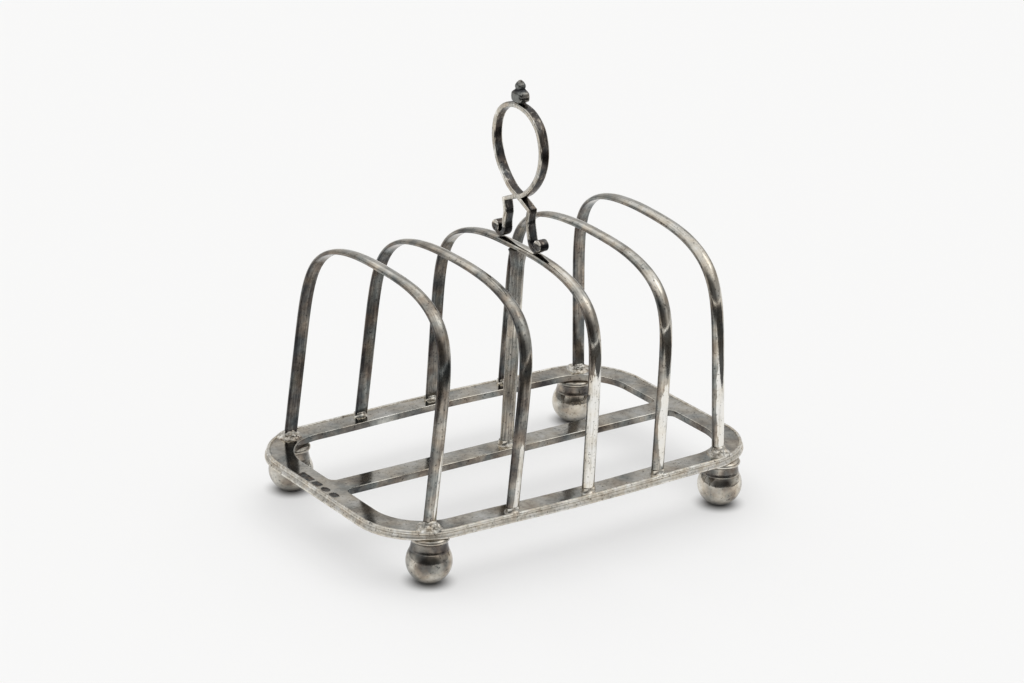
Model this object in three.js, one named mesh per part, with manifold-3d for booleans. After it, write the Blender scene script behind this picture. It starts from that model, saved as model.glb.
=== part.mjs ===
// A silver toast rack: a pierced base sheet with a moulded rim on four ball feet, five arches of
// D-section wire that hold the toast, a centre post and a cast loop handle with a finial.
// Millimetres, +Z up. The rack's length is along X, the feet stand on z = 0.
import * as THREE from 'three';
import Module from 'manifold-3d';

const wasm = await Module();
wasm.setup();

// ---- driving dimensions ----
const GAP = 0.3; // clearance at every soldered joint
const BALL = { r: 5.65, flat: 0.2, x: 44, y: 31.3 }; // ball feet, worn flat where they stand
const BASE = { halfX: 56.4, halfY: 37.2, corner: 17.5, bow: 1.0, thick: 1.8, top: 14.2 };
const RIM = { out: 1.3, height: 2.3, lip: 0.25 }; // moulded wire round the edge of the sheet
const RAIL = { side: 6.8, end: 6.6, corner: 12.7, bar: 6.2, fillet: 1.8 };
const WIRE = { wide: 3.5, thick: 1.3, edge: 0.35 }; // the D-section of the arches
const ARCH = {
  pitch: 22, innerRise: 52.0, endRise: 54.2, innerSpan: 34.4, endSpan: 31.9,
  drawIn: { far: 0.033, near: 0.018 }, nearShare: 1.007, legPower: 8.6, crownPower: 2.5,
};
const POST = { wide: 3.8, deep: 2.3, flare: 1.55, seatR: 2.6 };
const SEAT = { r: 2.2, high: 0.6, footR: 3.5, slope: 0.6 }; // solder seats under the ends of the wires
// the collar between a ball and the sheet; its top steps down to clear the rim
const NECK = { ballShare: 0.62, waist: 4.35, flare: 4.8, slope: 1.6, boss: 2.3, step: 0.25 };
const STRAP = { thick: 1.3, deep: 2.65 }; // the strap section of the handle
const LOOP = {
  halfWide: 9.8, high: 22.8, cross: 12.5, overlap: 0.8, knee: 10.2, kneeHalf: { far: 5.5, near: 5.0 },
};
const SCROLL = { r: 1.5, half: 8.9, high: 2.3, wide: 2.8 };
const FINIAL = { high: 5.0, half: 2.1, depthShare: 0.72, squareness: 0.7 };

// Each arch was bent and set by hand: its own place and lean along X, twist on plan and sideways lean.
const HAND = [
  { shift: -0.3, lean: 5.2, twist: 0.007, skew: -0.013 },
  { shift: 0.1, lean: 5.3, twist: 0.013, skew: 0.011 },
  { shift: 0.1, lean: 0.9, twist: 0.000, skew: -0.016 },
  { shift: 0.2, lean: 1.7, twist: 0.025, skew: 0.000 },
  { shift: -0.1, lean: -3.2, twist: 0.047, skew: 0.014 },
];
const HANDLE = { shift: -0.45, leanX: -0.020, leanY: 0.028 };

const part = new THREE.Group();
part.name = 'toast_rack';
const V = (x, y, z) => new THREE.Vector3(x, y, z);

function add(name, geometry, color) {
  const material = new THREE.MeshStandardMaterial({ color, metalness: 1, roughness: 0.25 });
  const mesh = new THREE.Mesh(geometry, material);
  mesh.name = name;
  part.add(mesh);
}

// A closed solid from a list of triangles; they are turned over if they face inward.
function solid(triangles) {
  const volume = triangles.reduce((sum, [a, b, c]) => sum + a.dot(b.clone().cross(c)), 0);
  const points = triangles.flatMap(([a, b, c]) => (volume < 0 ? [a, c, b] : [a, b, c]));
  const geometry = new THREE.BufferGeometry().setFromPoints(points);
  geometry.computeVertexNormals();
  return geometry;
}

// Joins rings of points, each the same length, into a tube; an open run gets flat end caps.
function skin(rings, closed = false) {
  const triangles = [];
  const count = rings[0].length;
  const runs = closed ? rings.length : rings.length - 1;
  for (let i = 0; i < runs; i++) {
    const a = rings[i];
    const b = rings[(i + 1) % rings.length];
    for (let j = 0; j < count; j++) {
      const k = (j + 1) % count;
      triangles.push([a[j], a[k], b[k]], [a[j], b[k], b[j]]);
    }
  }
  if (!closed) {
    for (const [ring, turned] of [[rings[0], true], [rings[rings.length - 1], false]]) {
      for (let j = 1; j < count - 1; j++) {
        triangles.push(turned ? [ring[0], ring[j + 1], ring[j]] : [ring[0], ring[j], ring[j + 1]]);
      }
    }
  }
  return solid(triangles);
}

// Carries a section of [across, out] points along frames { at, across, out, scale }.
function sweep(frames, section, closed = false) {
  return skin(frames.map(({ at, across, out, scale = 1 }) => section.map(([a, o]) => at.clone()
    .addScaledVector(across, a * scale).addScaledVector(out, o * scale))), closed);
}

// A turned solid round a vertical axis from [radius, height] points that start and end on the axis.
function turned(profile, x, y, segments = 24) {
  const geometry = new THREE.LatheGeometry(profile.map(([r, z]) => new THREE.Vector2(r, z)), segments);
  geometry.rotateX(Math.PI / 2);
  geometry.translate(x, y, 0);
  return geometry;
}

// A full outline from one quarter: a rounded rectangle whose long sides bow outward.
function quarterOutline(halfX, halfY, corner, bow) {
  const points = [[halfX, 0]];
  const centre = [halfX - corner, halfY - bow - corner];
  for (let i = 0; i <= 8; i++) {
    const angle = (i / 8) * Math.PI / 2;
    points.push([centre[0] + corner * Math.cos(angle), centre[1] + corner * Math.sin(angle)]);
  }
  for (let i = 1; i <= 5; i++) {
    const u = 1 - i / 5;
    points.push([centre[0] * u, halfY - bow + bow * (1 - u * u) ** 2]);
  }
  return points;
}

function fullOutline(quarter) {
  const last = quarter.length - 1;
  const flip = (sx, sy) => quarter.map(([x, y]) => [sx * x, sy * y]);
  return [
    ...flip(1, 1).slice(0, last), ...flip(-1, 1).reverse().slice(0, last),
    ...flip(-1, -1).slice(0, last), ...flip(1, -1).reverse().slice(0, last),
  ];
}

const toVectors = (points) => points.map(([x, y]) => new THREE.Vector2(x, y));

// ---- base: one pierced sheet, a ring with a bar across its middle ----
const sheetHalf = { x: BASE.halfX - RIM.out - GAP, y: BASE.halfY - RIM.out - GAP };
const sheetCorner = BASE.corner - RIM.out - GAP;
const sheet = new THREE.Shape(toVectors(
  fullOutline(quarterOutline(sheetHalf.x, sheetHalf.y, sheetCorner, BASE.bow))));
const openHalf = { x: BASE.halfX - RAIL.end, y: BASE.halfY - RAIL.side };
for (const side of [1, -1]) {
  const start = RAIL.bar / 2 + RAIL.fillet;
  const wall = quarterOutline(openHalf.x, openHalf.y, RAIL.corner, BASE.bow).slice(1);
  const fillet = [0, 1, 2, 3].map((i) => {
    const angle = (1 - i / 3) * Math.PI / 2;
    return [openHalf.x - RAIL.fillet + RAIL.fillet * Math.cos(angle), start - RAIL.fillet * Math.sin(angle)];
  });
  const half = [...fillet, ...wall];
  const mirrored = half.slice(0, -1).reverse().map(([x, y]) => [-x, y]);
  sheet.holes.push(new THREE.Path(toVectors([...half, ...mirrored].map(([x, y]) => [x, side * y]))));
}
const sheetBody = new THREE.ExtrudeGeometry(sheet, { depth: BASE.thick, bevelEnabled: false });
sheetBody.translate(0, 0, BASE.top - BASE.thick);
add('base_sheet', sheetBody, 0x9a9892);

// ---- moulded rim: an upper bead, a groove and a broad lower bead, in one closed wire ----
const rimSection = [
  [0, RIM.lip], [0.55, RIM.lip], [0.85, 0], [0.75, -0.45], [0.6, -0.65], [0.95, -0.95],
  [RIM.out, -1.35], [RIM.out, -1.75], [0.9, RIM.lip - RIM.height], [0, RIM.lip - RIM.height],
];
const rimLine = fullOutline(quarterOutline(
  BASE.halfX - RIM.out, BASE.halfY - RIM.out, BASE.corner - RIM.out, BASE.bow));
const rimFrames = rimLine.map(([x, y], i) => {
  const [ax, ay] = rimLine[(i + rimLine.length - 1) % rimLine.length];
  const [bx, by] = rimLine[(i + 1) % rimLine.length];
  return { at: V(x, y, BASE.top), across: V(by - ay, ax - bx, 0).normalize(), out: V(0, 0, 1) };
});
add('base_rim', sweep(rimFrames, rimSection, true), 0xb3aea2);

// ---- ball feet with their necks ----
const underside = BASE.top - BASE.thick;
const ballZ = BALL.r - BALL.flat;
const neckZ = ballZ + NECK.ballShare * BALL.r;
for (const [sx, along] of [[-1, 'left'], [1, 'right']]) {
  for (const [sy, side] of [[-1, 'near'], [1, 'far']]) {
    const flatAngle = Math.acos(ballZ / BALL.r);
    const topAngle = Math.acos(NECK.ballShare);
    const profile = [[0, 0]];
    for (let i = 0; i <= 12; i++) {
      const angle = -Math.PI / 2 + flatAngle + (i / 12) * (Math.PI - flatAngle - topAngle);
      profile.push([BALL.r * Math.cos(angle), ballZ + BALL.r * Math.sin(angle)]);
    }
    profile[1][1] = 0; // the flat lies on z = 0 exactly
    profile.push([0, neckZ]);
    add(`ball_foot_${along}_${side}`, turned(profile, sx * BALL.x, sy * BALL.y), 0xa39f96);
    const high = underside - GAP;
    const low = neckZ + GAP;
    const { waist, flare, slope, boss, step } = NECK;
    add(`foot_neck_${along}_${side}`, turned([
      [0, low], [waist, low], [flare, low + slope], [flare, high - step],
      [boss, high - step], [boss, high], [0, high],
    ], sx * BALL.x, sy * BALL.y, 24), 0x8c8982);
  }
}

// ---- arches ----
// The wire's section: flat towards the inside of the arch, domed outside.
function dSection({ wide, thick, edge }) {
  const points = [[-wide / 2, 0], [wide / 2, 0]];
  for (let i = 0; i <= 6; i++) {
    const angle = (i / 6) * Math.PI;
    points.push([(wide / 2) * Math.cos(angle), edge + (thick - edge) * Math.sin(angle)]);
  }
  return points.map(([a, o]) => [a, o - thick / 2]);
}

// Half of an arch as [share of the half span, share of the rise], foot to crown. The legs draw in a
// little towards the top, then turn over rounded shoulders into a flat crown.
function archHalf(drawIn, count = 16) {
  return Array.from({ length: count + 1 }, (_, i) => {
    const angle = (i / count) * Math.PI / 2;
    const rise = Math.sin(angle) ** (2 / ARCH.legPower);
    return [(1 - drawIn * rise) * Math.cos(angle) ** (2 / ARCH.crownPower), rise];
  });
}

function archFrames(index) {
  const end = index === 0 || index === 4;
  const { shift, lean, twist, skew } = HAND[index];
  const rise = end ? ARCH.endRise : ARCH.innerRise;
  const span = end ? ARCH.endSpan : ARCH.innerSpan;
  const foot = V((index - 2) * ARCH.pitch + shift, 0, BASE.top + SEAT.high + GAP);
  const along = V(twist, 1, 0);
  const tilt = THREE.MathUtils.degToRad(lean);
  const up = V(Math.sin(tilt), skew, Math.cos(tilt));
  const place = ([y, z]) => foot.clone().addScaledVector(along, y * span).addScaledVector(up, z * rise);
  const half = archHalf(ARCH.drawIn.far).map(place);
  const otherHalf = archHalf(ARCH.drawIn.near).slice(0, -1).reverse()
    .map(([y, z]) => place([-y * ARCH.nearShare, z]));
  const line = new THREE.CatmullRomCurve3([...half, ...otherHalf], false, 'centripetal');
  const across = along.clone().cross(up).normalize();
  const steps = 46;
  const frames = [];
  for (let i = 0; i <= steps; i++) {
    const tangent = line.getTangentAt(i / steps);
    frames.push({ at: line.getPointAt(i / steps), across, out: tangent.clone().cross(across).normalize() });
  }
  return { frames, crown: frames[steps / 2].at, feet: [place([1, 0]), place([-ARCH.nearShare, 0])] };
}

const arches = [0, 1, 2, 3, 4].map(archFrames);
arches.forEach(({ frames, feet }, index) => {
  add(`arch_${index + 1}`, sweep(frames, dSection(WIRE)), 0xaaa69c);
  feet.forEach((foot, i) => {
    const r = index === 0 || index === 4 ? SEAT.footR : SEAT.r;
    const low = BASE.top + GAP;
    const high = BASE.top + SEAT.high;
    add(`seat_${index + 1}_${i === 0 ? 'far' : 'near'}`, turned([
      [0, low], [r, low], [r - SEAT.slope / 4, (low + high) / 2], [r - SEAT.slope, high], [0, high],
    ], foot.x, foot.y, 20), 0xbdb7a8);
  });
});

// ---- centre post, from the bar of the base up to the middle arch ----
const crown = arches[2].crown;
const postFoot = V(0, 0, BASE.top);
const postTop = V(crown.x, crown.y, crown.z - WIRE.thick / 2 - GAP);
const postFrames = [0, 0.04, 0.1, 0.5, 0.9, 0.96, 1].map((t) => {
  const bottom = postFoot.clone().add(V(0, 0, SEAT.high + GAP));
  const spread = (fromEnd) => Math.max(0, 1 - fromEnd / 0.1) ** 2;
  const scale = 1 + (POST.flare - 1) * (0.4 * spread(t) + spread(1 - t));
  return { at: bottom.lerp(postTop, t), across: V(1, 0, 0), out: V(0, 1, 0), scale };
});
const oval = Array.from({ length: 14 }, (_, i) => {
  const angle = (i / 14) * 2 * Math.PI;
  return [(POST.wide / 2) * Math.cos(angle), (POST.deep / 2) * Math.sin(angle)];
});
add('centre_post', sweep(postFrames, oval), 0x97948d);
add('seat_post', turned([
  [0, BASE.top + GAP], [POST.seatR, BASE.top + GAP],
  [POST.seatR - SEAT.slope / 2, BASE.top + SEAT.high], [0, BASE.top + SEAT.high],
], postFoot.x, postFoot.y, 20), 0xbdb7a8);

// ---- handle: one casting, its two straps cross below the loop and end in scrolled feet ----
const handleFoot = V(crown.x, crown.y, crown.z + WIRE.thick / 2 + GAP);
const handleAt = (y, z) => handleFoot.clone()
  .add(V(HANDLE.leanX * z, HANDLE.shift + y + HANDLE.leanY * z, z));

// Half of the loop as [share of its half width, share of its height], from the crossing to the top.
const LOOP_LINE = [
  [0, 0], [0.27, 0.045], [0.62, 0.174], [0.88, 0.34], [1, 0.53],
  [0.97, 0.69], [0.82, 0.84], [0.46, 0.96], [0, 1],
];

// One strap runs from its scrolled foot, through the crossing, to just past the top of the loop opposite.
function strapFrames(side) {
  const smooth = (points, steps) => new THREE.CatmullRomCurve3(
    points.map(([y, z]) => V(0, side * y, z)), false, 'centripetal').getPoints(steps);
  const sole = STRAP.thick / 2;
  const kneeHalf = side > 0 ? LOOP.kneeHalf.far : LOOP.kneeHalf.near;
  const leg = smooth([
    [SCROLL.half, SCROLL.high - SCROLL.r + sole], [SCROLL.half - 1.2, sole + 0.05],
    [SCROLL.half - 2.4, sole + 0.35],
    [SCROLL.half - 3.3, 1.9], [kneeHalf - 0.1, 0.44 * LOOP.knee], [kneeHalf - 0.6, 0.7 * LOOP.knee],
    [kneeHalf, LOOP.knee],
  ], 16);
  const arm = smooth([
    ...LOOP_LINE.map(([wide, high]) => [-wide * LOOP.halfWide, LOOP.cross + high * LOOP.high]),
    [LOOP.overlap, LOOP.cross + LOOP.high],
  ], 30);
  const points = [...leg, ...arm];
  return points.map((point, i) => {
    const before = points[Math.max(0, i - 1)];
    const after = points[Math.min(points.length - 1, i + 1)];
    const into = point.clone().sub(before).normalize();
    const outOf = after.clone().sub(point).normalize();
    const tangent = into.add(outOf).normalize();
    return { at: handleAt(point.y, point.z), across: V(1, 0, 0), out: V(0, -tangent.z, tangent.y) };
  });
}
// A strap's section: an oblong with its four corners cut off.
const strapSection = [
  [-0.5, -0.3], [-0.38, -0.5], [0.38, -0.5], [0.5, -0.3],
  [0.5, 0.3], [0.38, 0.5], [-0.38, 0.5], [-0.5, 0.3],
].map(([a, o]) => [a * STRAP.deep, o * STRAP.thick]);

function toManifold(geometry) {
  const flat = geometry.index ? geometry.toNonIndexed() : geometry;
  const positions = flat.attributes.position.array;
  const index = new Map();
  const vertices = [];
  const triangles = [];
  for (let i = 0; i < positions.length; i += 3) {
    const point = [positions[i], positions[i + 1], positions[i + 2]].map((v) => Math.round(v * 1e4) / 1e4);
    const key = point.join();
    if (!index.has(key)) {
      index.set(key, vertices.length / 3);
      vertices.push(...point);
    }
    triangles.push(index.get(key));
  }
  const kept = [];
  for (let i = 0; i < triangles.length; i += 3) {
    const [a, b, c] = triangles.slice(i, i + 3);
    if (a !== b && b !== c && c !== a) kept.push(a, b, c);
  }
  return new wasm.Manifold(new wasm.Mesh({
    numProp: 3, vertProperties: new Float32Array(vertices), triVerts: new Uint32Array(kept),
  }));
}

function toGeometry(manifold) {
  const mesh = manifold.getMesh();
  const geometry = new THREE.BufferGeometry();
  geometry.setAttribute('position', new THREE.BufferAttribute(mesh.vertProperties, 3));
  geometry.setIndex(new THREE.BufferAttribute(mesh.triVerts, 1));
  const flat = geometry.toNonIndexed();
  flat.computeVertexNormals();
  return flat;
}

let handle = null;
for (const side of [1, -1]) {
  const strap = toManifold(sweep(strapFrames(side), strapSection));
  const centre = handleAt(side * SCROLL.half, SCROLL.high);
  const curl = new THREE.CylinderGeometry(SCROLL.r, SCROLL.r, SCROLL.wide, 16);
  curl.rotateZ(Math.PI / 2);
  curl.translate(centre.x, centre.y, centre.z);
  const piece = strap.add(toManifold(curl));
  handle = handle ? handle.add(piece) : piece;
}
add('handle_loop', toGeometry(handle.simplify(0.02)), 0xb5b0a5);

// ---- finial: two lobes and a point, a rounded square in section ----
const finialFoot = LOOP.cross + LOOP.high + STRAP.thick / 2 + GAP;
const finialLevels = [
  [0, 0.8], [0.14, 1], [0.36, 1], [0.5, 0.78], [0.56, 0.44], [0.66, 0.5], [0.8, 0.48], [0.9, 0.34], [1, 0.12],
];
const finialRings = finialLevels.map(([level, wide]) => {
  const at = handleAt(0, finialFoot + level * FINIAL.high);
  return Array.from({ length: 16 }, (_, i) => {
    const angle = (i / 16) * 2 * Math.PI;
    const round = (v) => Math.sign(v) * Math.abs(v) ** FINIAL.squareness;
    return at.clone().add(V(FINIAL.depthShare * round(Math.cos(angle)), round(Math.sin(angle)), 0)
      .multiplyScalar(wide * FINIAL.half));
  });
});
add('finial', skin(finialRings), 0xa9a59b);

export default part;
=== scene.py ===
"""Looks for the silver toast rack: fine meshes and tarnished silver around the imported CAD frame.

Lengths are millimetres in the row frame, and MM turns them into metres where Blender needs them.
"""

import math

import bmesh
import bpy
import numpy as np
from mathutils import Matrix, Vector, noise
from mathutils.geometry import tessellate_polygon


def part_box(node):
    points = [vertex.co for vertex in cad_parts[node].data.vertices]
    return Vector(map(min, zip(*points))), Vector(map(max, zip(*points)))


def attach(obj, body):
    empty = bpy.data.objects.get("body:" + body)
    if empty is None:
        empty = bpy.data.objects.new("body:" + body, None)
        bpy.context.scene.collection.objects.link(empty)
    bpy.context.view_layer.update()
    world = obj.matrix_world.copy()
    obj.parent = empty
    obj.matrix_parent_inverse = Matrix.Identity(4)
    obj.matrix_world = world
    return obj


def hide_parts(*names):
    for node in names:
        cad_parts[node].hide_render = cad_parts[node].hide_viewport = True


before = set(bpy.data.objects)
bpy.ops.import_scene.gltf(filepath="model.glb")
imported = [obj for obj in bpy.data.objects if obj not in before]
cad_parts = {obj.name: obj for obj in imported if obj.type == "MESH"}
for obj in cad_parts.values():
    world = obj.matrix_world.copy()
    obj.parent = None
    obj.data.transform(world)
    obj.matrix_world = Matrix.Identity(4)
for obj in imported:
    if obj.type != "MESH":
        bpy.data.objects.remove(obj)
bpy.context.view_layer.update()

MM = 0.001
BODY = "root"

# ---- driving sizes, in millimetres ----
WIRE = {"wide": 3.5, "thick": 1.3, "edge": 0.35, "soft": 0.16}
ARCH = {
    "draw_in": {"far": 0.033, "near": 0.018}, "leg_power": 8.6, "crown_power": 2.5, "wobble": 0.10,
}
BASE = {"corner": 17.5, "bow": 1.0, "soft": 0.28}
RAIL = {"side": 6.8, "end": 6.6, "corner": 12.7, "bar": 6.2, "fillet": 1.8}
RIM = {"out": 1.3, "lip": 0.25, "high": 2.3}
# how far solder climbs a wire or the post, and how thick it lies round the end arches and elsewhere
SOLDER = {"wire": 1.3, "post": 1.3, "disc": 0.60, "inside_and_arch_step": 0.08, "post_film": 0.10}
# the post widens over a share of its length at the top, and a little at its foot
POST = {"wide": 3.8, "deep": 2.3, "flare": 1.55, "top": 0.10, "foot": 0.06, "foot_flare": 0.3}
STRAP = {"thick": 1.3, "deep": 2.65, "soft": 0.46}
LOOP = {
    "half": 9.8, "high": 22.8, "cross": 12.5, "overlap": 0.8, "knee": 10.2, "knee_half": {1: 5.5, -1: 5.0},
}
SCROLL = {"r": 1.5, "half": 8.9, "high": 2.3, "wide": 2.8}
LEAN = {"shift": -0.45, "x": -0.020, "y": 0.028}
BALL = {"flat": 0.2, "top": 0.72}  # the worn flat's depth, and how many radii up a ball is cut
GAP = 0.3  # what the CAD leaves open at every soldered joint


# ---- small helpers ----
def unit(vector):
    return vector / np.linalg.norm(vector)


def box(node):
    """A CAD node's lowest and highest corners, in millimetres."""
    low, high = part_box(node)
    return np.array(low) / MM, np.array(high) / MM


def cad_points(node):
    return np.array([v.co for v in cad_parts[node].data.vertices], float) / MM


def waver(*place):
    """Smooth noise from about -1 to 1 that is the same on each run."""
    return noise.noise(Vector(place))


def evenly(line, steps):
    """The line again, as steps + 1 points at equal distances along it."""
    along = np.concatenate([[0], np.cumsum(np.linalg.norm(np.diff(line, axis=0), axis=1))])
    wanted = np.linspace(0, along[-1], steps + 1)
    return np.stack([np.interp(wanted, along, axis) for axis in line.T], axis=1)


def curve_through(points, per_span):
    """A centripetal Catmull-Rom curve through the points."""
    points = np.array(points, float)
    padded = np.vstack([2 * points[0] - points[1], points, 2 * points[-1] - points[-2]])
    curve = []
    for i in range(len(padded) - 3):
        a, b, c, d = padded[i:i + 4]
        ab, bc, cd = (np.linalg.norm(q - p) ** 0.5 for p, q in ((a, b), (b, c), (c, d)))
        leave = bc * ((b - a) / ab - (c - a) / (ab + bc) + (c - b) / bc)
        arrive = bc * ((c - b) / bc - (d - b) / (bc + cd) + (d - c) / cd)
        for t in np.linspace(0, 1, per_span, endpoint=False):
            late = t * t * (3 - 2 * t)
            curve.append((1 - late) * b + late * c + t * (1 - t) ** 2 * leave - t * t * (1 - t) * arrive)
    return np.array([*curve, points[-1]])


def tangents(line):
    return [unit(t) for t in np.gradient(line, axis=0)]


def rounded(corners, soft, steps=3):
    """A closed outline with its corners rounded: each becomes a short arc that starts soft before it."""
    outline = []
    corners = np.array(corners, float)
    for i, corner in enumerate(corners):
        before, after = corners[i - 1], corners[(i + 1) % len(corners)]
        start = corner + unit(before - corner) * soft
        end = corner + unit(after - corner) * soft
        for k in range(steps + 1):
            t = k / steps
            outline.append((1 - t) ** 2 * start + 2 * t * (1 - t) * corner + t ** 2 * end)
    return np.array(outline)


def loft(rings, closed=False):
    """Points and faces that join rings of equal length; an open run is capped at both ends."""
    rings = np.array(rings, float)
    count, size, _ = rings.shape
    faces = []
    for i in range(count if closed else count - 1):
        for j in range(size):
            k, n = (j + 1) % size, (i + 1) % count
            faces.append((i * size + j, i * size + k, n * size + k, n * size + j))
    if not closed:
        faces.append(tuple(range(size)))
        faces.append(tuple(range((count - 1) * size, count * size)))
    return rings.reshape(-1, 3), faces


def carry(line, across, outs, section, scales=None):
    """Carries a section of [across, out] points along a line."""
    scales = np.ones(len(line)) if scales is None else scales
    return loft([
        [at + across[i] * a * scales[i] + outs[i] * o * scales[i] for a, o in section]
        for i, at in enumerate(line)
    ])


def turned(profile, centre, segments=64, axis="z"):
    """A turned solid from [radius, height] points that start and end on its axis."""
    profile = np.array(profile, float)
    points, faces = [], []
    bottom, top = profile[0][1], profile[-1][1]
    inner = profile[1:-1]
    for r, h in inner:
        for j in range(segments):
            angle = 2 * math.pi * j / segments
            points.append((r * math.cos(angle), r * math.sin(angle), h))
    first, last = len(points), len(points) + 1
    points += [(0, 0, bottom), (0, 0, top)]
    for i in range(len(inner) - 1):
        for j in range(segments):
            k = (j + 1) % segments
            here, above = i * segments, (i + 1) * segments
            faces.append((here + j, here + k, above + k, above + j))
    end = (len(inner) - 1) * segments
    for j in range(segments):
        k = (j + 1) % segments
        faces.append((first, k, j))
        faces.append((last, end + j, end + k))
    points = np.array(points, float)
    if axis == "x":
        points = points[:, [2, 0, 1]]
    return points + np.array(centre, float), faces


def write_layer(mesh, name, values):
    """Stores one number or one vector for each point, for the materials to read."""
    values = np.array(values, np.float32)
    kind, field = ("FLOAT", "value") if values.ndim == 1 else ("FLOAT_VECTOR", "vector")
    mesh.attributes.new(name, kind, "POINT").data.foreach_set(field, values.ravel())


def object_from(name, points, faces, material, **layers):
    """An object with one closed mesh, its faces outward, and a layer of values for each named one."""
    mesh = bpy.data.meshes.new(name)
    mesh.from_pydata([tuple(p) for p in np.array(points) * MM], [], faces)
    tidy = bmesh.new()
    tidy.from_mesh(mesh)
    bmesh.ops.recalc_face_normals(tidy, faces=tidy.faces)
    tidy.to_mesh(mesh)
    tidy.free()
    for layer, values in layers.items():
        write_layer(mesh, layer, values)
    mesh.materials.append(material)
    obj = bpy.data.objects.new(name, mesh)
    bpy.context.scene.collection.objects.link(obj)
    return obj


def with_modifiers_applied(obj):
    graph = bpy.context.evaluated_depsgraph_get()
    mesh = bpy.data.meshes.new_from_object(obj.evaluated_get(graph), depsgraph=graph)
    obj.modifiers.clear()
    obj.data = mesh
    return obj


def join_solids(main, others, how):
    """Cuts or adds closed meshes with an exact boolean, then removes them."""
    for other in others:
        step = main.modifiers.new("boolean", "BOOLEAN")
        step.object, step.operation, step.solver = other, how, "EXACT"
        with_modifiers_applied(main)
        bpy.data.objects.remove(other)
    return main


def place(obj, slot, *nodes, sharp=35):
    """Shades the piece, puts it on the frame and hides the CAD nodes it stands for."""
    obj.data.shade_smooth()
    obj.data.set_sharp_from_angle(angle=math.radians(sharp))
    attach(obj, BODY)
    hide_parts(*nodes)
    return obj


# ---- materials ----
def add_node(tree, kind, settings=None, **inputs):
    """A shader node with its settings, and its inputs as values or links. An input i0 is the first one."""
    made = tree.nodes.new("ShaderNode" + kind)
    for key, value in (settings or {}).items():
        setattr(made, key, value)
    for key, value in inputs.items():
        socket = made.inputs[int(key[1:])] if key[1:].isdigit() else made.inputs[key.replace("_", " ")]
        if isinstance(value, bpy.types.NodeSocket):
            tree.links.new(value, socket)
        else:
            socket.default_value = value
    return made


def maths(tree, operation, a, b=0.0, clamp=False):
    return add_node(tree, "Math", {"operation": operation, "use_clamp": clamp}, i0=a, i1=b).outputs[0]


def ramp(tree, share, stops):
    """A colour ramp from [position, colour] stops."""
    made = add_node(tree, "ValToRGB", i0=share)
    elements = made.color_ramp.elements
    while len(elements) < len(stops):
        elements.new(1.0)
    for element, (position, colour) in zip(elements, stops):
        element.position = position
        element.color = (*colour, 1.0)
    return made.outputs[0]


def speckle(tree, where, size, detail=3.0, roughness=0.55):
    """Noise from 0 to 1 whose features are about size millimetres across."""
    made = add_node(tree, "TexNoise", Vector=where, Scale=1 / (size * MM), Detail=detail,
                    Roughness=roughness)
    return made.outputs["Fac"]


def smooth_step(tree, value, low, high, at_low, at_high):
    return add_node(tree, "MapRange", {"interpolation_type": "SMOOTHSTEP"}, i0=value,
                    i1=low, i2=high, i3=at_low, i4=at_high).outputs[0]


def centred(tree, value, amount):
    return maths(tree, "MULTIPLY", maths(tree, "SUBTRACT", value, 0.5), amount)


COOL_TARNISH = (
    (0.00, (0.84, 0.83, 0.80)),
    (0.20, (0.62, 0.61, 0.57)),
    (0.40, (0.33, 0.34, 0.32)),
    (0.60, (0.155, 0.168, 0.165)),
    (0.80, (0.060, 0.066, 0.070)),
    (1.00, (0.020, 0.021, 0.023)),
)
WARM_TARNISH = (
    (0.00, (0.87, 0.84, 0.77)),
    (0.20, (0.68, 0.62, 0.52)),
    (0.40, (0.42, 0.36, 0.29)),
    (0.60, (0.20, 0.165, 0.135)),
    (0.80, (0.080, 0.066, 0.058)),
    (1.00, (0.025, 0.022, 0.021)),
)


# small dark specks: their size, the noise above which they show, and how much darker they are
SPECKS = {"size": 0.50, "above": 0.66, "dark": 0.38}
# the ragged edge of a worn place: the size and depth of its noise, and how sharply it ends
WEAR = {"size": 1.3, "ragged": 0.9, "from": 0.49, "to": 0.53}
HUE_SPREAD = 0.45  # how far the film's colour strays to either side of its usual warmth


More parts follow.
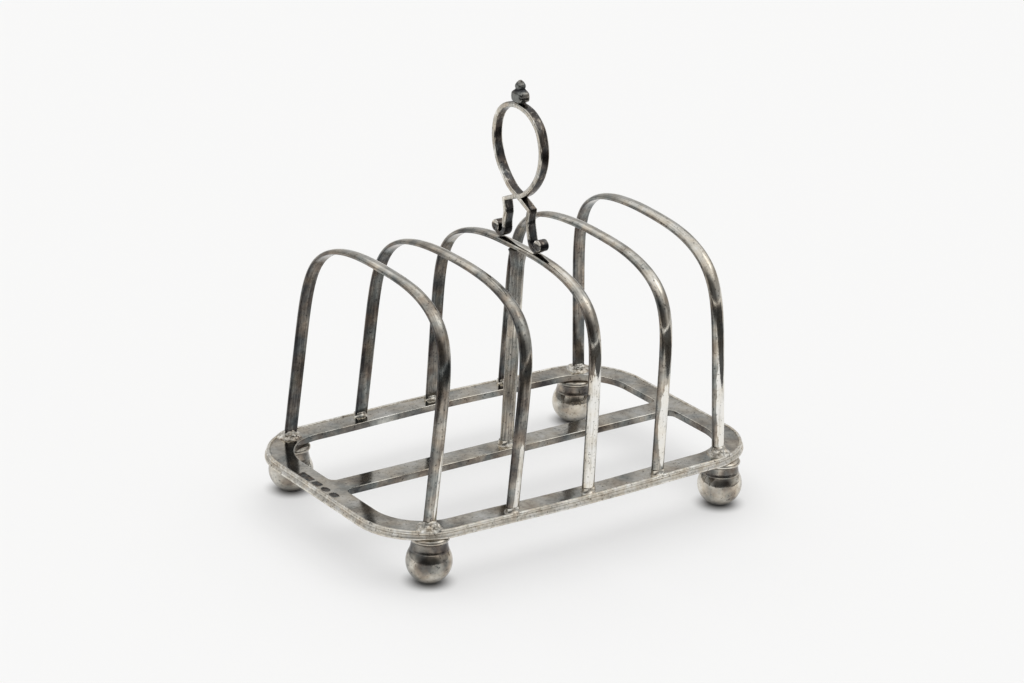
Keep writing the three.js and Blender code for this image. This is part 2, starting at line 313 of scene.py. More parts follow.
def silver(name, base, patches, patch, grain, shine, dull, wave=0.02, pits=0.0, streaks=0.0,
           rubbed=0.0, warm=0.5):
    """Tarnished silver.

    base is how tarnished it is on the whole, patches (each patch wide) and grain how unevenly. shine and
    dull are the roughness of clean and of black metal, wave and pits the depth of its waves and pits.
    streaks is how uneven it is in lines along the metal, the argument after it how far the worn places are
    polished through, which on the arch legs are painted highlights, and warm how brown the film is rather
    than blue. The layer "run" says which way the metal runs.
    """
    material = bpy.data.materials.new(name)
    material.use_nodes = True
    tree = material.node_tree
    shader = tree.nodes["Principled BSDF"]
    where = add_node(tree, "TexCoord").outputs["Object"]
    run = add_node(tree, "Attribute", {"attribute_name": "run"}).outputs["Vector"]
    # the layer holds tarnish together with painted shade and painted highlights
    dirt_and_painted_light = add_node(tree, "Attribute", {"attribute_name": "tarnish"}).outputs["Fac"]
    share = maths(tree, "ADD", dirt_and_painted_light, base)
    share = maths(tree, "ADD", share, centred(tree, speckle(tree, where, patch), patches))
    share = maths(tree, "ADD", share, centred(tree, speckle(tree, where, 1.0, 5.0, 0.6), grain))
    if streaks:
        lines = add_node(tree, "Mapping", Vector=run, Scale=(0.06, 1.0, 1.0)).outputs[0]
        share = maths(tree, "ADD", share, centred(tree, speckle(tree, lines, 0.55, 4.0, 0.6), streaks))
    if rubbed:
        # worn places polished bright; on the arch legs they are painted highlights
        worn = add_node(tree, "Attribute", {"attribute_name": "rubbed"}).outputs["Fac"]
        ragged = add_node(tree, "Mapping", Vector=run, Scale=(0.22, 1.0, 1.0)).outputs[0]
        ragged = speckle(tree, ragged, WEAR["size"], 5.0, 0.6)
        worn = maths(tree, "ADD", worn, centred(tree, ragged, WEAR["ragged"]))
        worn = smooth_step(tree, worn, WEAR["from"], WEAR["to"], 0.0, rubbed)
        share = maths(tree, "SUBTRACT", share, worn)
    specks = maths(tree, "GREATER_THAN", speckle(tree, where, SPECKS["size"], 2.0), SPECKS["above"])
    share = maths(tree, "ADD", share, maths(tree, "MULTIPLY", specks, SPECKS["dark"]), clamp=True)
    cool, brown = max(0.0, warm - HUE_SPREAD), min(1.0, warm + HUE_SPREAD)
    hue = add_node(tree, "MapRange", i0=speckle(tree, where, 0.8 * patch, 2.0), i1=0.35, i2=0.65,
                   i3=cool, i4=brown).outputs[0]
    colour = add_node(tree, "Mix", {"data_type": "RGBA"}, i0=hue, i6=ramp(tree, share, COOL_TARNISH),
                      i7=ramp(tree, share, WARM_TARNISH)).outputs[2]
    tree.links.new(colour, shader.inputs["Base Color"])
    shader.inputs["Metallic"].default_value = 1.0
    rough = maths(tree, "ADD", maths(tree, "MULTIPLY", share, dull - shine), shine)
    rough = maths(tree, "ADD", rough, centred(tree, speckle(tree, where, 0.7, 4.0), 0.10), clamp=True)
    tree.links.new(rough, shader.inputs["Roughness"])
    broad = speckle(tree, where, 5.5, 2.0)
    normal = add_node(tree, "Bump", Strength=1.0, Distance=wave * MM, Height=broad).outputs[0]
    fine = speckle(tree, where, 0.35, 4.0, 0.65)
    normal = add_node(tree, "Bump", Strength=0.6, Distance=0.006 * MM, Height=fine,
                      Normal=normal).outputs[0]
    if pits:
        holes = add_node(tree, "TexVoronoi", Vector=where, Scale=1 / (0.75 * MM)).outputs["Distance"]
        normal = add_node(tree, "Bump", Strength=1.0, Distance=pits * MM, Height=holes,
                          Normal=normal).outputs[0]
    tree.links.new(normal, shader.inputs["Normal"])
    return material


# each one's name, base, patches, patch, grain, shine and dull
WIRE_SILVER = silver("wire_silver", 0.38, 0.80, 6.0, 0.22, 0.05, 0.24, streaks=0.62, rubbed=0.38,
                     warm=0.52)
SHEET_SILVER = silver("sheet_silver", 0.26, 1.05, 8.0, 0.20, 0.06, 0.24, wave=0.03, warm=0.5)
RIM_SILVER = silver("rim_silver", 0.17, 0.60, 5.0, 0.75, 0.36, 0.58, streaks=0.15, warm=0.74)
BALL_SILVER = silver("ball_silver", 0.30, 1.10, 4.5, 0.10, 0.04, 0.22, wave=0.09, warm=0.72)
HANDLE_SILVER = silver("handle_silver", 0.32, 0.50, 4.0, 0.16, 0.07, 0.28, streaks=0.34, rubbed=0.26,
                       warm=0.60)
POST_SILVER = silver("post_silver", 0.45, 0.60, 7.0, 0.18, 0.10, 0.32, streaks=0.80, warm=0.50)
SOLDER_SILVER = silver("solder_silver", 0.24, 0.40, 2.5, 0.40, 0.18, 0.42, warm=0.60)
PITTED_SILVER = silver("pitted_solder", 0.26, 0.60, 2.5, 0.90, 0.28, 0.52, pits=0.14, warm=0.66)
PUNCH_SILVER = silver("punch_floor", 0.44, 0.40, 2.0, 0.80, 0.30, 0.5)

# ---- places taken from the frame ----
HALF_X, HALF_Y = box("base_rim")[1][:2]
UNDER, TOP = (corner[2] for corner in box("base_sheet"))


def outline(half_x, half_y, corner, bow, arc=18, side=16):
    """A closed outline: a rounded rectangle whose long sides bow outward."""
    centre_x, centre_y = half_x - corner, half_y - bow - corner
    quarter = [(half_x, 0.0), (half_x, centre_y / 2)]
    for angle in np.linspace(0, math.pi / 2, arc):
        quarter.append((centre_x + corner * math.cos(angle), centre_y + corner * math.sin(angle)))
    for u in np.linspace(1, 0, side)[1:]:
        quarter.append((centre_x * u, half_y - bow + bow * (1 - u * u) ** 2))
    quarter = np.array(quarter)
    return np.vstack([
        quarter[:-1], (quarter * (-1, 1))[::-1][:-1],
        (quarter * (-1, -1))[:-1], (quarter * (1, -1))[::-1][:-1],
    ])


def plan_normals(loop):
    """The outward normal at each point of a closed loop that runs anticlockwise."""
    turned_by = np.roll(loop, -1, axis=0) - np.roll(loop, 1, axis=0)
    return np.array([unit(np.array([y, -x])) for x, y in turned_by])


# ---- base sheet ----
def opening(side):
    """One opening of the sheet, anticlockwise, with small fillets where it meets the middle bar."""
    half_x, half_y = HALF_X - RAIL["end"], HALF_Y - RAIL["side"]
    fillet, start = RAIL["fillet"], RAIL["bar"] / 2
    ring = outline(half_x, half_y, RAIL["corner"], BASE["bow"])
    upper = ring[ring[:, 1] > start + fillet]
    corner = [
        (half_x - fillet + fillet * math.cos(a), start + fillet + fillet * math.sin(a))
        for a in np.linspace(-math.pi / 2, 0, 7)
    ]
    loop = np.vstack([corner, upper, (np.array(corner) * (-1, 1))[::-1]])
    return loop if side > 0 else (loop * (1, -1))[::-1]


def pierced_sheet():
    inset, soft = RIM["out"] - 0.1, BASE["soft"]
    outside = outline(HALF_X - inset, HALF_Y - inset, BASE["corner"] - RIM["out"], BASE["bow"])
    loops = [(outside, 1), (opening(1), -1), (opening(-1), -1)]
    edge = [(soft * (1 - math.sin(a)), soft * (math.cos(a) - 1)) for a in np.linspace(0, math.pi / 2, 5)]
    levels = [(inset, TOP + drop) for inset, drop in edge]
    levels += [(inset, UNDER - drop) for inset, drop in reversed(edge)]
    points, faces, rims = [], [], {0: [], len(levels) - 1: []}
    for loop, sign in loops:
        normals = plan_normals(loop) * sign
        start, size = len(points), len(loop)
        for k, (inset, z) in enumerate(levels):
            moved = loop - normals * inset
            if k in rims:
                rims[k].append((len(points), moved))
            points += [(x, y, z) for x, y in moved]
        for k in range(len(levels) - 1):
            for j in range(size):
                a, b = start + k * size + j, start + k * size + (j + 1) % size
                faces.append((a, b, b + size, a + size))
    for found in rims.values():
        numbers = [first + i for first, loop in found for i in range(len(loop))]
        polygons = [[Vector((x, y, 0)) for x, y in loop] for _, loop in found]
        faces += [tuple(numbers[i] for i in triangle) for triangle in tessellate_polygon(polygons)]
    return points, faces


PUNCH = {"x": 2.6 - HALF_X, "deep": 0.17, "gap": 0.75, "start": 11.0, "wide": 2.1}
PUNCH_LENGTHS = (5.4, 3.1, 3.1, 3.1)
OVAL_PUNCH = 2


def punches():
    """Four plain shapes struck in a row on the left end rail, with nothing in them."""
    cutters = []
    y = PUNCH["start"]
    for number, length in enumerate(PUNCH_LENGTHS):
        half, wide = length / 2, PUNCH["wide"] / 2
        if number == OVAL_PUNCH:
            angles = np.linspace(0, 2 * math.pi, 24)[:-1]
            plan = [(wide * math.cos(a), half * math.sin(a)) for a in angles]
        else:
            corners = [(-wide, -half), (wide, -half), (wide, half), (-wide, half)]
            plan = rounded(corners, 0.3 + 0.25 * number)
        plan = np.array(plan)
        rings = [
            [(PUNCH["x"] + a * grow, y - half + b * grow, z) for a, b in plan]
            for grow, z in ((0.9, TOP - PUNCH["deep"]), (1.0, TOP + 0.02), (1.02, TOP + 0.4))
        ]
        cutters.append(object_from(f"punch_{number}", *loft(rings), PUNCH_SILVER))
        y -= length + PUNCH["gap"]
    return cutters


def make_sheet():
    obj = object_from("sheet_fine", *pierced_sheet(), SHEET_SILVER)
    join_solids(obj, punches(), "DIFFERENCE")
    mesh = obj.data
    while len(mesh.materials) > 1:
        mesh.materials.pop()
    mesh.materials.append(PUNCH_SILVER)
    for face in mesh.polygons:
        x, _, z = face.center / MM
        struck = TOP - PUNCH["deep"] - 0.05 < z < TOP - 0.01 and abs(x - PUNCH["x"]) < PUNCH["wide"] * 0.51
        face.material_index = 1 if struck else 0
    heights = np.array([v.co.z for v in mesh.vertices]) / MM
    write_layer(mesh, "tarnish", np.where(heights < TOP - BASE["soft"] * 0.6, 0.30, 0.0))
    place(obj, "sheet_silver", "base_sheet", sharp=50)
    flat = obj.modifiers.new("flat", "WEIGHTED_NORMAL")
    flat.keep_sharp, flat.weight = True, 90
    with_modifiers_applied(obj)


# ---- moulded rim ----
def make_rim():
    lip = RIM["lip"]
    sole = lip - RIM["high"]
    key = [
        (0.0, 0.02), (0.12, lip - 0.06), (0.38, lip), (0.66, lip - 0.08), (0.84, -0.06), (0.88, -0.28),
        (0.84, -0.48), (0.88, -0.66), (1.02, -0.86), (1.18, -1.12), (1.28, -1.36), (1.30, -1.58),
        (1.20, -1.82), (0.95, -1.99), (0.60, sole), (0.0, sole),
    ]
    section = curve_through(key, 3)
    out = RIM["out"]
    line = outline(HALF_X - out, HALF_Y - out, BASE["corner"] - out, BASE["bow"], 26, 44)
    line = evenly(np.vstack([line, line[:1]]), 420)[:-1]
    normals = plan_normals(line)
    step = np.linalg.norm(line[1] - line[0])
    rings, tarnish, run = [], [], []
    for i, ((x, y), (nx, ny)) in enumerate(zip(line, normals)):
        worn = 1 + 0.05 * waver(x * 0.12, y * 0.12, 3.0)
        rings.append([(x + nx * o * worn, y + ny * o * worn, TOP + z) for o, z in section])
        tarnish += [rim_tarnish(z) for _, z in section]
        run += [(i * step * MM, o * MM, z * MM) for o, z in section]
    points, faces = loft(rings, closed=True)
    obj = object_from("rim_fine", points, faces, RIM_SILVER, tarnish=tarnish, run=run)
    place(obj, "rim_silver", "base_rim", sharp=60)


def rim_tarnish(z):
    """Darker in the groove, where tarnish gathers, and under the lower band, where shade is painted in,
    than on the two beads.
    """
    groove = max(0.0, 1 - abs(z + 0.56) / 0.24) * 0.20
    painted_shade_below = max(0.0, (-z - 1.75) / 0.3) * 0.5
    return groove + min(painted_shade_below, 0.5)


# ---- arches and their solder ----
# for each arch, the bright worn patch on its near leg, which is a painted highlight: lowest, highest,
# middle across the wire, half width
WORN_HIGHLIGHT_PATCHES = [
    (-2, 21, 1.1, 0.8), (-4, 18, 0.5, 1.0), (-6, 34, 0.2, 2.6), (3, 24, 0.3, 1.5), (0, 27, 0.4, 1.4),
]
BARELY_RUBBED = 0.22

# how much darker each near leg, and any far leg, is than its arch's crown
LEG_DARKER = [0.13, 0.16, 0.06, 0.01, 0.01]
FAR_LEG_DARKER = 0.06


def wire_section():
    """The wire's D-section, flat inside, with rounded edges, centred on half its thickness."""
    half, thick, edge, soft = WIRE["wide"] / 2, WIRE["thick"], WIRE["edge"], WIRE["soft"]
    right = [(half - soft + soft * math.cos(a), soft + soft * math.sin(a))
             for a in np.linspace(-math.pi / 2, 0, 4)]
    dome = [(half * math.cos(a), edge + (thick - edge) * math.sin(a)) for a in np.linspace(0, math.pi, 21)]
    left = [(-a, o) for a, o in reversed(right)]
    return np.array([*right, *dome, *left, (-half / 3, 0), (half / 3, 0)]) - (0, thick / 2)


def arch_plan(node):
    """Where the CAD arch stands: its middle on the sheet, half its span and its rise as vectors."""
    points = cad_points(node)
    low, high = points.min(0), points.max(0)
    ends = []
    for side in (1, -1):
        ring = points[(points[:, 2] < low[2] + 1) & (points[:, 1] * side > 0)]
        ends.append((ring.min(0) + ring.max(0)) / 2)
    far, near = ends
    top = points[points[:, 2] > high[2] - WIRE["thick"] - 0.05]
    crown = (top.min(0) + top.max(0)) / 2
    crown[2] = high[2] - WIRE["thick"] / 2
    middle = (far + near) / 2
    return middle, (far - near) / 2, crown - middle


def arch_line(node, steps=190):
    middle, along, up = arch_plan(node)
    line = []
    for angle in np.linspace(0, math.pi, 240):
        rise = math.sin(angle) ** (2 / ARCH["leg_power"])
        draw_in = ARCH["draw_in"]["far" if angle < math.pi / 2 else "near"]
        out = (1 - draw_in * rise) * abs(math.cos(angle)) ** (2 / ARCH["crown_power"])
        line.append(middle + along * math.copysign(out, math.cos(angle)) + up * rise)
    line = evenly(np.array(line), steps)
    across = unit(np.cross(along, up))
    seed = middle[0]
    for i in range(len(line)):
        loose = math.sin(math.pi * i / steps) * ARCH["wobble"]
        line[i] += across * loose * waver(i * 0.045, seed, 0.0)
        line[i] += unit(up) * loose * waver(i * 0.06, seed, 5.0)
    for end, inner in ((0, 1), (-1, -2)):
        down = unit(line[end] - line[inner])
        foot = line[end] + down * (line[end][2] - TOP) / -down[2]
        line = np.vstack([foot, line]) if end == 0 else np.vstack([line, foot])
    return line, across


def wear_and_painted_highlight(number, outside, z, a):
    """How far a place on a wire is worn bright: most in the patch on the outside of the near leg, which is
    a painted highlight.
    """
    if not outside:
        return BARELY_RUBBED
    low, high, middle, wide = WORN_HIGHLIGHT_PATCHES[number - 1]
    off = math.hypot((z - (low + high) / 2) / ((high - low) / 2), (a - middle) / wide)
    return max(BARELY_RUBBED, 0.5 + 0.8 * (1 - off))


def make_arch(number):
    node = f"arch_{number}"
    line, across = arch_line(node)
    runs = tangents(line)
    outs = [unit(np.cross(t, across)) for t in runs]
    section = wire_section()
    points, faces = carry(line, [across] * len(line), outs, section)
    half, thick = len(line) / 2, WIRE["thick"]
    tarnish, rubbed, run = [], [], []
    for i, (at, along) in enumerate(zip(line, runs)):
        level = 1 - abs(along[2])
        for a, o in section:
            flat = min(1.0, max(0.0, 1 - (o + thick / 2) / (0.62 * thick)))
            left = min(1.0, max(0.0, (-a * across[0] - 0.9) / 0.6))
            edge = min(1.0, max(0.0, (abs(a) - 0.9) / 0.6))
            leg = LEG_DARKER[number - 1] if i > half else FAR_LEG_DARKER
            inside_and_arch_step = 0.24 * flat - 0.015 * (number - 1)
            # darker on the flat inside face and a little lighter arch by arch; on the crown lighter but
            # darker at the edges; on the legs darker, and darker still on each leg's -X side, which is a
            # painted dark reflection
            tarnish.append(inside_and_arch_step + (0.20 * edge - 0.14) * level + (leg + 0.16 * left) * (1 - level))
            rubbed.append(wear_and_painted_highlight(number, i > half and flat < 0.5, at[2] - TOP, a * across[0]))
            run.append((i * 0.8 * MM, a * MM, (o + 9 * number) * MM))
    obj = object_from(f"wire_{number}_fine", points, faces, WIRE_SILVER,
                      tarnish=tarnish, rubbed=rubbed, run=run)
    place(obj, "arch_wire", node, sharp=60)
    over_foot = number in (1, 5)
    disc, material = (SOLDER["disc"], PITTED_SILVER) if over_foot else (SOLDER["inside_and_arch_step"], SOLDER_SILVER)
    inner = (WIRE["wide"] / 2 + 0.06, thick / 2 + 0.08)
    for side, foot in (("far", line[0]), ("near", line[-1])):
        high = SOLDER["wire"] * (1.0 if side == "near" else 0.7)
        make_solder(f"seat_{number}_{side}", foot, inner, high, disc, material)


def make_solder(node, foot, inner, high, disc, material, segments=72, steps=18):
    """A run of solder: a low lumpy disc on the sheet that sweeps up round the wire in a hollow fillet."""
    low, top = box(node)
    outer = (top[0] - low[0]) / 2
    rings, tarnish = [], []
    for k in range(steps + 1):
        share = k / steps
        ring = []
        for j in range(segments):
            angle = 2 * math.pi * j / segments
            c, s = math.cos(angle), math.sin(angle)
            start = 1 / ((abs(c) / inner[0]) ** 3 + (abs(s) / inner[1]) ** 3) ** (1 / 3)
            end = outer * (0.94 + 0.12 * waver(c * 1.6, s * 1.6, foot[0] + foot[1]))
            r = end + (start - end) * share
            reach = min(1.0, max(0.0, (r - start) / min(1.5, end - start)))
            climb = high * (1 - math.sqrt(1 - (1 - reach) ** 2))
            spread = min(1.0, (end - r) / (0.32 * outer))
            lump = 1 + 0.5 * waver(foot[0] + c * r * 1.3, foot[1] + s * r * 1.3, 2.0)
            lie = disc * spread * (2 - spread) * lump
            ring.append((foot[0] + c * r, foot[1] + s * r, TOP + climb + lie))
            patch = waver(c * r * 1.5, s * r * 1.5, foot[1])
            tarnish.append(0.14 * max(0.0, 1 - share * 5) + 0.25 * patch)
        rings.append(ring)
    points, faces = loft(rings)
    place(object_from(f"{node}_fine", points, faces, material, tarnish=tarnish), "solder", node, sharp=80)


# ---- centre post ----
def make_post():
    foot = np.array([0.0, 0.0, TOP])
    post = cad_points("centre_post")
    high = post[:, 2].max()
    cap = post[post[:, 2] > high - 0.2]
    top = (cap.min(0) + cap.max(0)) / 2
    top[2] = high + GAP
    section = [(POST["wide"] / 2 * math.cos(a), POST["deep"] / 2 * math.sin(a))
               for a in np.linspace(0, 2 * math.pi, 37)[:-1]]
    count = 90
    line = np.array([foot + (top - foot) * t for t in np.linspace(0, 1, count)])
    scales = []
    for t in np.linspace(0, 1, count):
        spread = max(0.0, 1 - (1 - t) / POST["top"]) ** 2
        spread += POST["foot_flare"] * max(0.0, 1 - t / POST["foot"]) ** 2
        scales.append(1 + (POST["flare"] - 1) * spread + 0.012 * waver(t * 9, 1.0, 2.0))
    x, y = np.array([1.0, 0, 0]), np.array([0, 1.0, 0])
    points, faces = carry(line, [x] * count, [y] * count, section, scales)
    tarnish, run = [], []
    for t in np.linspace(0, 1, count):
        for a, o in section:
            # darker over the top fifth; the +X side is lighter, which is painted light on the side the
            # light falls on
            high_up = max(0.0, (t - 0.8) / 0.2)
            tarnish.append(0.25 * high_up + 0.1 * waver(t * 6, 8.0, 0) - 0.10 * (a > 0.5))
            run.append((t * (top[2] - foot[2]) * MM, a * MM, o * MM))
    obj = object_from("post_fine", points, faces, POST_SILVER, tarnish=tarnish, run=run)
    place(obj, "post_silver", "centre_post", sharp=60)
    inner = (POST["wide"] / 2 * 1.1, POST["deep"] / 2 * 1.1)
    make_solder("seat_post", foot, inner, SOLDER["post"], SOLDER["post_film"], SOLDER_SILVER)


# ---- feet ----
def make_foot(along, side):
    low, high = box(f"ball_foot_{along}_{side}")
    centre = (low + high) / 2 * (1, 1, 0)
    r = (high[0] - low[0]) / 2
    ball_z = r - BALL["flat"]
    profile = [(0, 0)]
    for angle in np.linspace(-math.asin(ball_z / r), math.asin(BALL["top"]), 46):
        profile.append((r * math.cos(angle), max(0.0, ball_z + r * math.sin(angle))))
    profile.append((0, profile[-1][1]))
    points, faces = turned(profile, centre, 72)
    dirt_and_painted_light = []
    for x, y, z in points:
        # the top of the ball, by the neck under the base, is darker: painted shade; the patches are
        # tarnish
        painted_shade_at_top = max(0.0, (z / r - 1.45) / 0.2)
        patch = waver(x * 0.22, y * 0.22, z * 0.22 + 4)
        dirt_and_painted_light.append(0.25 * painted_shade_at_top + 0.4 * max(0.0, patch))
    obj = object_from(f"ball_{along}_{side}_fine", points, faces, BALL_SILVER, tarnish=dirt_and_painted_light)
    place(obj, "foot_silver", f"ball_foot_{along}_{side}", sharp=60)
    neck = f"foot_neck_{along}_{side}"
    flare = (box(neck)[1][0] - box(neck)[0][0]) / 2
    start = box(neck)[0][2] - GAP
    key = [(flare - 0.25, start - 0.9), (flare - 0.03, start - 0.42), (flare - 0.2, start + 0.3),
           (flare - 0.34, start + 1.2), (flare - 0.36, UNDER - 1.6), (flare - 0.1, UNDER - 1.25),
           (flare + 0.1, UNDER - 0.9), (flare + 0.02, UNDER - 0.5), (flare - 0.3, UNDER - 0.2),
           (flare - 0.9, UNDER)]
    curve = curve_through(key, 4)
    profile = [(0, curve[0][1]), *curve, (0, UNDER)]
    points, faces = turned(profile, centre, 56)
    dirt_and_painted_light = []
    for x, y, z in points:
        # the flared lip under the base is lighter: a painted highlight
        lip = z > UNDER - 1.3
        dirt_and_painted_light.append(0.20 + 0.3 * waver(x * 0.3, y * 0.3, z * 0.3) - 0.22 * lip)
    obj = object_from(f"neck_{along}_{side}_fine", points, faces, BALL_SILVER, tarnish=dirt_and_painted_light)
    place(obj, "foot_silver", neck, sharp=60)


# ---- handle ----
# the loop from the crossing up to its top, as shares of its half width and its height
LOOP_LINE = [
    (0, 0), (0.27, 0.045), (0.62, 0.174), (0.88, 0.34), (1, 0.53),
    (0.97, 0.69), (0.82, 0.84), (0.46, 0.96), (0, 1),
]


def handle_at(foot, y, z):
    return foot + np.array([LEAN["x"] * z, LEAN["shift"] + y + LEAN["y"] * z, z])


def strap(foot, side, deep):
    """One strap: from its scrolled foot through the knee and the crossing, over the loop."""
    half, sole, knee = SCROLL["half"], STRAP["thick"] / 2, LOOP["knee_half"][side]
    leg = curve_through([
        (half - 0.1, SCROLL["high"] - SCROLL["r"] + sole), (half - 1.2, sole + 0.05),
        (half - 2.4, sole + 0.35), (half - 3.3, 1.9), (knee - 0.1, 0.44 * LOOP["knee"]),
        (knee - 0.6, 0.7 * LOOP["knee"]), (knee, LOOP["knee"]),
    ], 8)
    arm = curve_through([
        *((-wide * LOOP["half"], LOOP["cross"] + high * LOOP["high"]) for wide, high in LOOP_LINE),
        (LOOP["overlap"], LOOP["cross"] + LOOP["high"]),
    ], 12)
    path = np.vstack([leg, arm]) * (side, 1)
    line = np.array([handle_at(foot, y, z) for y, z in path])
    outs = []
    for i in range(len(path)):
        into = unit(path[i] - path[max(0, i - 1)]) if i else unit(path[1] - path[0])
        out_of = unit(path[min(len(path) - 1, i + 1)] - path[i]) if i < len(path) - 1 else into
        y, z = unit(into + out_of)
        outs.append(np.array([0, -z, y]))
    x, thick = deep / 2, STRAP["thick"] / 2
    section = rounded([(-x, -thick), (x, -thick), (x, thick), (-x, thick)], STRAP["soft"], 3)
    return carry(line, [np.array([1.0, 0, 0])] * len(line), outs, section)


def make_handle():
    middle, _, up = arch_plan("arch_3")
    foot = middle + up + np.array([0, 0, WIRE["thick"] / 2 + 0.02])
    deep = STRAP["deep"]
    main = object_from("handle_fine", *strap(foot, 1, deep), HANDLE_SILVER)
    others = [object_from("strap_b", *strap(foot, -1, deep - 0.08), HANDLE_SILVER)]
    r, half = SCROLL["r"], SCROLL["wide"] / 2
    for side in (1, -1):
        dish = [(0, -half - 0.12), (0.3, -half - 0.08), (0.5, -half + 0.1), (0.62, -half + 0.12),
                (0.85, -half - 0.02), (1.1, -half), (r - 0.05, -half + 0.15), (r, -half + 0.4)]
        profile = [*dish, *((radius, -level) for radius, level in reversed(dish))]
        points, faces = turned(profile, handle_at(foot, side * SCROLL["half"], SCROLL["high"]), 40, "x")
        others.append(object_from(f"curl_{side + 1}", points, faces, HANDLE_SILVER))
    join_solids(main, others, "UNION")
    mesh = main.data
    while len(mesh.materials) > 1:
        mesh.materials.pop()
    for face in mesh.polygons:
        face.material_index = 0
    write_handle_layers(mesh)
    place(main, "handle_silver", "handle_loop", sharp=38)
    return foot


def write_handle_layers(mesh):
    """The rounded edges are lighter, rubbed bright and with a painted highlight along them; the broad
    faces of the straps, and the feet, are darker.
    """
    places = np.array([v.co for v in mesh.vertices])
    sideways = np.array([abs(v.normal.x) for v in mesh.vertices])
    edges_with_painted_highlight = np.clip(1 - np.abs(sideways - 0.6) / 0.3, 0, 1)
    broad = np.clip(1.4 - sideways * 2, 0, 1)
    feet = places[:, 2] < places[:, 2].min() + 1.9 * SCROLL["r"] * MM
    write_layer(mesh, "tarnish", 0.46 * broad - 0.46 * edges_with_painted_highlight + 0.44 * feet)
    write_layer(mesh, "rubbed", np.where(feet, 0.10, 0.42))
    write_layer(mesh, "run", places[:, [2, 0, 1]])


def make_finial(foot):
    low, high = box("finial")
    size = high[2] - low[2]
    key = [(0, 0.70), (0.08, 0.94), (0.22, 1.02), (0.38, 0.96), (0.48, 0.76), (0.56, 0.50), (0.61, 0.41),
           (0.70, 0.48), (0.79, 0.45), (0.87, 0.31), (0.94, 0.21), (1, 0.12)]
    deep, square = 0.55 * STRAP["deep"], 0.45
    half = (high[1] - low[1]) / 2
    start = low[2] - foot[2] - GAP
    rings = []
    for level, wide in curve_through(key, 4):
        at = handle_at(foot, 0, start + level * (size + GAP))
        deep_here = deep * min(1.15, 0.42 + 0.78 * wide) * min(1.0, 4 * wide)
        ring = []
        for angle in np.linspace(0, 2 * math.pi, 41)[:-1]:
            c, s = math.cos(angle), math.sin(angle)
            x = math.copysign(abs(c) ** square, c) * deep_here
            y = math.copysign(abs(s) ** square, s) * half * wide
            ring.append(at + np.array([x, y, 0]))
        rings.append(ring)
    points, faces = loft(rings)
    waist = np.clip(1 - np.abs((points[:, 2] - low[2]) / size - 0.55) / 0.12, 0, None)
    obj = object_from("finial_fine", points, faces, HANDLE_SILVER,
                      tarnish=0.25 + 0.35 * waist, run=points[:, [2, 0, 1]] * MM)
    place(obj, "handle_silver", "finial", sharp=60)


# ---- stage: pale floor, soft light, the camera ----
CAMERA = {"azimuth": -35.856, "elevation": 21.429, "roll": 2.080, "distance": 799.4, "lens": 114.07}
AIM = np.array([-2.15, -3.76, 43.47])

# the floor glows a little, which lightens every shadow on it; round each foot the glow grows from none at
# touch to full at clear, which paints a contact shadow there. level is how bright the backdrop behind it
# is
FLOOR = {"half": 6000, "level": 0.94, "albedo": 0.40, "glow": 0.475, "touch": 2.0, "clear": 7.5}
FILL = 0.50
# what metal mirrors: a bright ceiling above a dimmer ring, and the dark room behind the viewer. Each
# changes between two shares of one, along the direction's height or towards the viewer's side
CEILING = {"from": 0.40, "to": 0.62, "ring": 0.48, "bright": 0.95}
DARK_ROOM = {"azimuth": -28, "from": 0.42, "to": 0.85, "level": 0.20}
# the dark ground: its edges to the right and in front, as the camera sees the rack, its height and grey
FLAG = {"inner_right": 138, "inner_front": 175, "back": -60, "right": 900, "front": 700, "left": -500,
        "high": 1.0, "grey": 0.05}
# each soft light: its direction, its width, its strength and whether polished metal shows it
LIGHTS = [(65, 53, 28, 0.13, True), (160, 72, 80, 2.10, False)]


def bearing(azimuth, elevation):
    """The direction from the rack towards a viewer there."""
    a, e = math.radians(azimuth), math.radians(elevation)
    return np.array([math.sin(a) * math.cos(e), -math.cos(a) * math.cos(e), math.sin(e)])


def make_camera():
    back = bearing(CAMERA["azimuth"], CAMERA["elevation"])
    right = unit(np.cross(-back, (0, 0, 1)))
    up = np.cross(right, -back)
    roll = math.radians(CAMERA["roll"])
    x = math.cos(roll) * right + math.sin(roll) * up
    y = -math.sin(roll) * right + math.cos(roll) * up
    data = bpy.data.cameras.new("camera")
    data.lens, data.sensor_width = CAMERA["lens"], 36.0
    data.clip_start, data.clip_end = 0.01, 50.0
    camera = bpy.data.objects.new("camera", data)
    camera.matrix_world = Matrix([
        (*(float(axis[row]) for axis in (x, y, back)), float((AIM + back * CAMERA["distance"])[row]) * MM)
        for row in range(3)
    ] + [(0, 0, 0, 1)])
    bpy.context.scene.collection.objects.link(camera)
    bpy.context.scene.camera = camera


def glow_outside_painted_foot_shadows(tree):
    """1 on the open floor, falling to 0 where a ball stands: taking the floor's glow away there paints a
    contact shadow round each foot.
    """
    where = add_node(tree, "TexCoord").outputs["Object"]
    nearest = FLOOR["clear"] * MM
    for along in ("left", "right"):
        for side in ("near", "far"):
            low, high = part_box(f"ball_foot_{along}_{side}")
            stand = ((low[0] + high[0]) / 2, (low[1] + high[1]) / 2, 0.0)
            off = add_node(tree, "VectorMath", {"operation": "DISTANCE"}, i0=where, i1=stand)
            nearest = maths(tree, "MINIMUM", nearest, off.outputs["Value"])
    return smooth_step(tree, nearest, FLOOR["touch"] * MM, FLOOR["clear"] * MM, 0.0, 1.0)


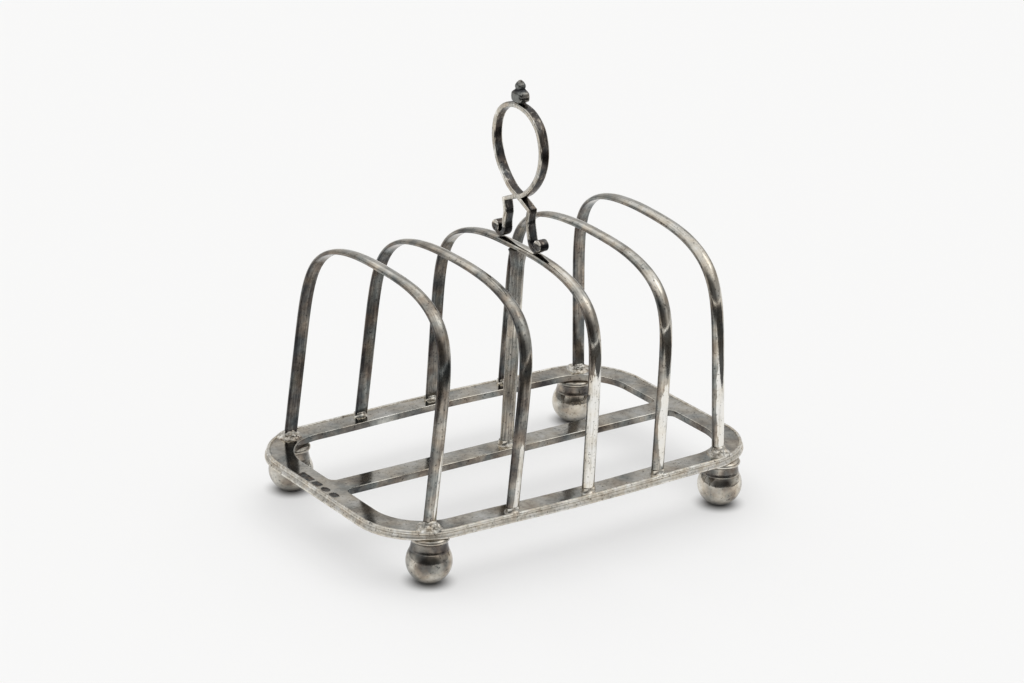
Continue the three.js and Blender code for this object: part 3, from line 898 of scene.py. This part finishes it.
def make_floor():
    mesh = bpy.data.meshes.new("floor")
    half = FLOOR["half"] * MM
    corners = [(-half, -half, 0), (half, -half, 0), (half, half, 0), (-half, half, 0)]
    mesh.from_pydata(corners, [], [(0, 1, 2, 3)])
    floor = bpy.data.objects.new("floor", mesh)
    material = bpy.data.materials.new("pale_floor")
    material.use_nodes = True
    shader = material.node_tree.nodes["Principled BSDF"]
    shader.inputs["Base Color"].default_value = (FLOOR["albedo"],) * 3 + (1,)
    shader.inputs["Emission Color"].default_value = (1, 1, 1, 1)
    glow = maths(material.node_tree, "MULTIPLY", glow_outside_painted_foot_shadows(material.node_tree), FLOOR["glow"])
    material.node_tree.links.new(glow, shader.inputs["Emission Strength"])
    shader.inputs["Roughness"].default_value = 1.0
    shader.inputs["Specular IOR Level"].default_value = 0.0
    mesh.materials.append(material)
    bpy.context.scene.collection.objects.link(floor)


def make_light():
    """Two soft lights and an even fill, and apart from them the room that polished metal mirrors."""
    world = bpy.data.worlds.new("studio")
    bpy.context.scene.world = world
    world.use_nodes = True
    tree = world.node_tree
    where = add_node(tree, "TexCoord").outputs["Generated"]
    up = add_node(tree, "SeparateXYZ", i0=where).outputs["Z"]
    high = smooth_step(tree, up, CEILING["from"], CEILING["to"], CEILING["ring"], CEILING["bright"])
    front = add_node(tree, "VectorMath", {"operation": "DOT_PRODUCT"}, i0=where,
                     i1=tuple(bearing(DARK_ROOM["azimuth"], 0))).outputs["Value"]
    dark = smooth_step(tree, front, DARK_ROOM["from"], DARK_ROOM["to"], 1.0, DARK_ROOM["level"])
    mirrored = maths(tree, "MULTIPLY", high, dark)
    path = add_node(tree, "LightPath")
    lit = add_node(tree, "Mix", i0=path.outputs["Is Glossy Ray"], i2=FILL, i3=mirrored).outputs[0]
    strength = add_node(tree, "Mix", i0=path.outputs["Is Camera Ray"], i2=lit,
                        i3=FLOOR["level"]).outputs[0]
    background = tree.nodes["Background"]
    background.inputs["Color"].default_value = (1.0, 1.0, 1.0, 1)
    tree.links.new(strength, background.inputs["Strength"])
    for number, (azimuth, elevation, wide, energy, shown) in enumerate(LIGHTS):
        sun = bpy.data.lights.new(f"light_{number}", "SUN")
        sun.energy, sun.angle, sun.color = energy, math.radians(wide), (1.0, 0.995, 0.98)
        lamp = bpy.data.objects.new(f"light_{number}", sun)
        lamp.visible_glossy = shown
        lamp.rotation_mode = "QUATERNION"
        lamp.rotation_quaternion = Vector(bearing(azimuth, elevation)).to_track_quat("Z", "Y")
        bpy.context.scene.collection.objects.link(lamp)


def make_flag():
    """The dark ground past the pale sweep, on the right and in front: only reflections show it."""
    right, front = bearing(CAMERA["azimuth"] + 90, 0), bearing(CAMERA["azimuth"], 0)
    middle = np.array([AIM[0], AIM[1], FLAG["high"]])
    plan = [
        (FLAG["inner_right"], FLAG["back"]), (FLAG["right"], FLAG["back"]),
        (FLAG["right"], FLAG["front"]), (FLAG["left"], FLAG["front"]),
        (FLAG["left"], FLAG["inner_front"]), (FLAG["inner_right"], FLAG["inner_front"]),
    ]
    corners = [middle + right * a + front * b for a, b in plan]
    flag = object_from("flag", corners, [tuple(range(len(corners)))], bpy.data.materials.new("flag"))
    flag.data.materials[0].use_nodes = True
    shader = flag.data.materials[0].node_tree.nodes["Principled BSDF"]
    shader.inputs["Base Color"].default_value = (FLAG["grey"],) * 3 + (1,)
    shader.inputs["Roughness"].default_value = 1.0
    flag.visible_camera = flag.visible_diffuse = flag.visible_shadow = False


make_camera()
make_floor()
make_light()
make_flag()
make_sheet()
make_rim()
for arch in range(1, 6):
    make_arch(arch)
make_post()
for foot_along in ("left", "right"):
    for foot_side in ("near", "far"):
        make_foot(foot_along, foot_side)
make_finial(make_handle())
bpy.context.scene.view_settings.view_transform = "Standard"
